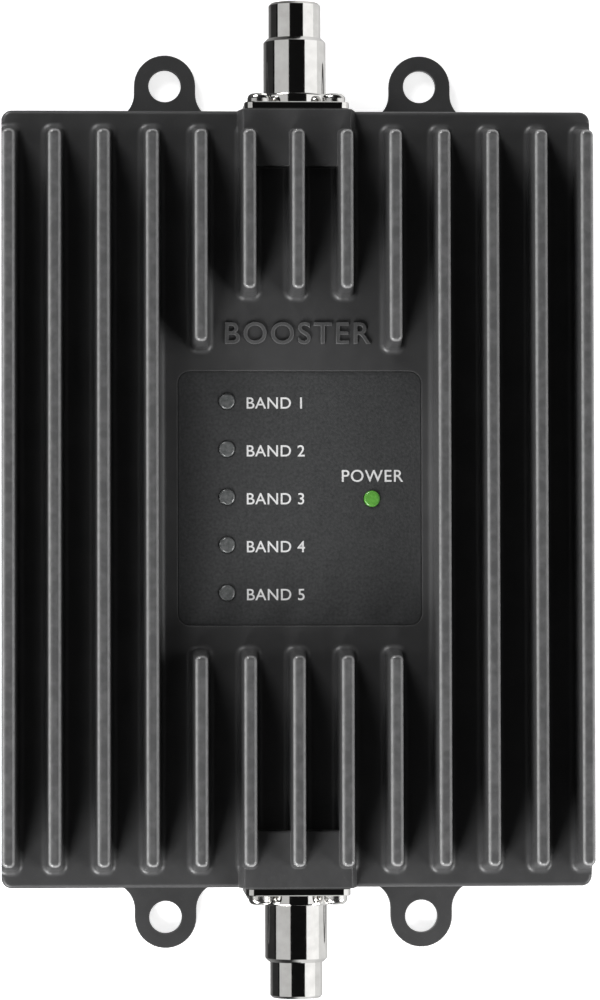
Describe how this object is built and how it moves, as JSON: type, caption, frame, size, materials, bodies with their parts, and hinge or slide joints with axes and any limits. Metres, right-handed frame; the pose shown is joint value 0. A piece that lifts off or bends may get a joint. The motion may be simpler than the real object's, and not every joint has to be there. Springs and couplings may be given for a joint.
{
  "type": "cellular signal booster",
  "caption": "Finned die-cast signal booster case on an eared back plate, with coaxial panel jacks in its end walls and a recessed lamp panel.",
  "frame": {"origin": "centre of the back plate's underside", "axes": "+Z out of the finned face, +Y along the case towards the outside-antenna jack, +X to the right when the lamp panel reads upright"},
  "size_m": [0.1436, 0.2434, 0.035],
  "materials": {
    "cast_housing": "satin dark grey powder coat, fine texture",
    "painted_plate": "satin dark grey powder coat",
    "zinc_screw": "zinc plated",
    "nickel_screw": "bright nickel plate",
    "nickel_shell": "bright nickel plate",
    "ptfe": "white fluoropolymer",
    "gold_contact": "gold plated",
    "seal_rubber": "black silicone rubber",
    "overlay_film": "matt textured dark film",
    "rating_label": "blank silver film",
    "lens_grey": "diffused smoke lens",
    "lens_green": "lit green lens",
    "lamp_body": "white carrier with clear lens",
    "lamp_lit": "lit green",
    "circuit_board": "green solder mask on glass laminate",
    "shield_tin": "tin plated",
    "filter_ceramic": "silvered ceramic",
    "chip_black": "moulded epoxy",
    "capacitor_can": "drawn can",
    "inlet_plastic": "moulded black",
    "thermal_pad": "soft grey-blue gap filler"
  },
  "bodies": {
    "root": {"back_plate": "painted_plate", "back_plate_screws": "zinc_screw", "band_lamp_1": "lamp_body", "band_lamp_2": "lamp_body", "band_lamp_3": "lamp_body", "band_lamp_4": "lamp_body", "band_lamp_5": "lamp_body", "band_light_pipe_1": "lens_grey", "band_light_pipe_2": "lens_grey", "band_light_pipe_3": "lens_grey", "band_light_pipe_4": "lens_grey", "band_light_pipe_5": "lens_grey", "board_screws": "zinc_screw", "case_seal": "seal_rubber", "dc_inlet_pin": "gold_contact", "dc_inlet_shell": "inlet_plastic", "dc_inlet_spring": "gold_contact", "detector_shield_can": "shield_tin", "downlink_amplifier": "chip_black", "downlink_shield_can": "shield_tin", "downlink_thermal_pad": "thermal_pad", "finned_housing": "cast_housing", "input_capacitor": "capacitor_can", "inside_band_filter": "filter_ceramic", "inside_jack_body": "nickel_shell", "inside_jack_centre_contact": "gold_contact", "inside_jack_flange_screws": "nickel_screw", "inside_jack_gasket": "seal_rubber", "inside_jack_insulator": "ptfe", "label_overlay": "overlay_film", "main_board": "circuit_board", "microcontroller": "chip_black", "output_capacitor": "capacitor_can", "outside_band_filter": "filter_ceramic", "outside_jack_body": "nickel_shell", "outside_jack_centre_contact": "gold_contact", "outside_jack_flange_screws": "nickel_screw", "outside_jack_gasket": "seal_rubber", "outside_jack_insulator": "ptfe", "power_inductor_1": "chip_black", "power_inductor_2": "chip_black", "power_lamp": "lamp_lit", "power_light_pipe": "lens_green", "rating_label": "rating_label", "reference_crystal": "shield_tin", "uplink_amplifier": "chip_black", "uplink_shield_can": "shield_tin", "uplink_thermal_pad": "thermal_pad", "voltage_regulator": "chip_black"}
  },
  "joints": []
}
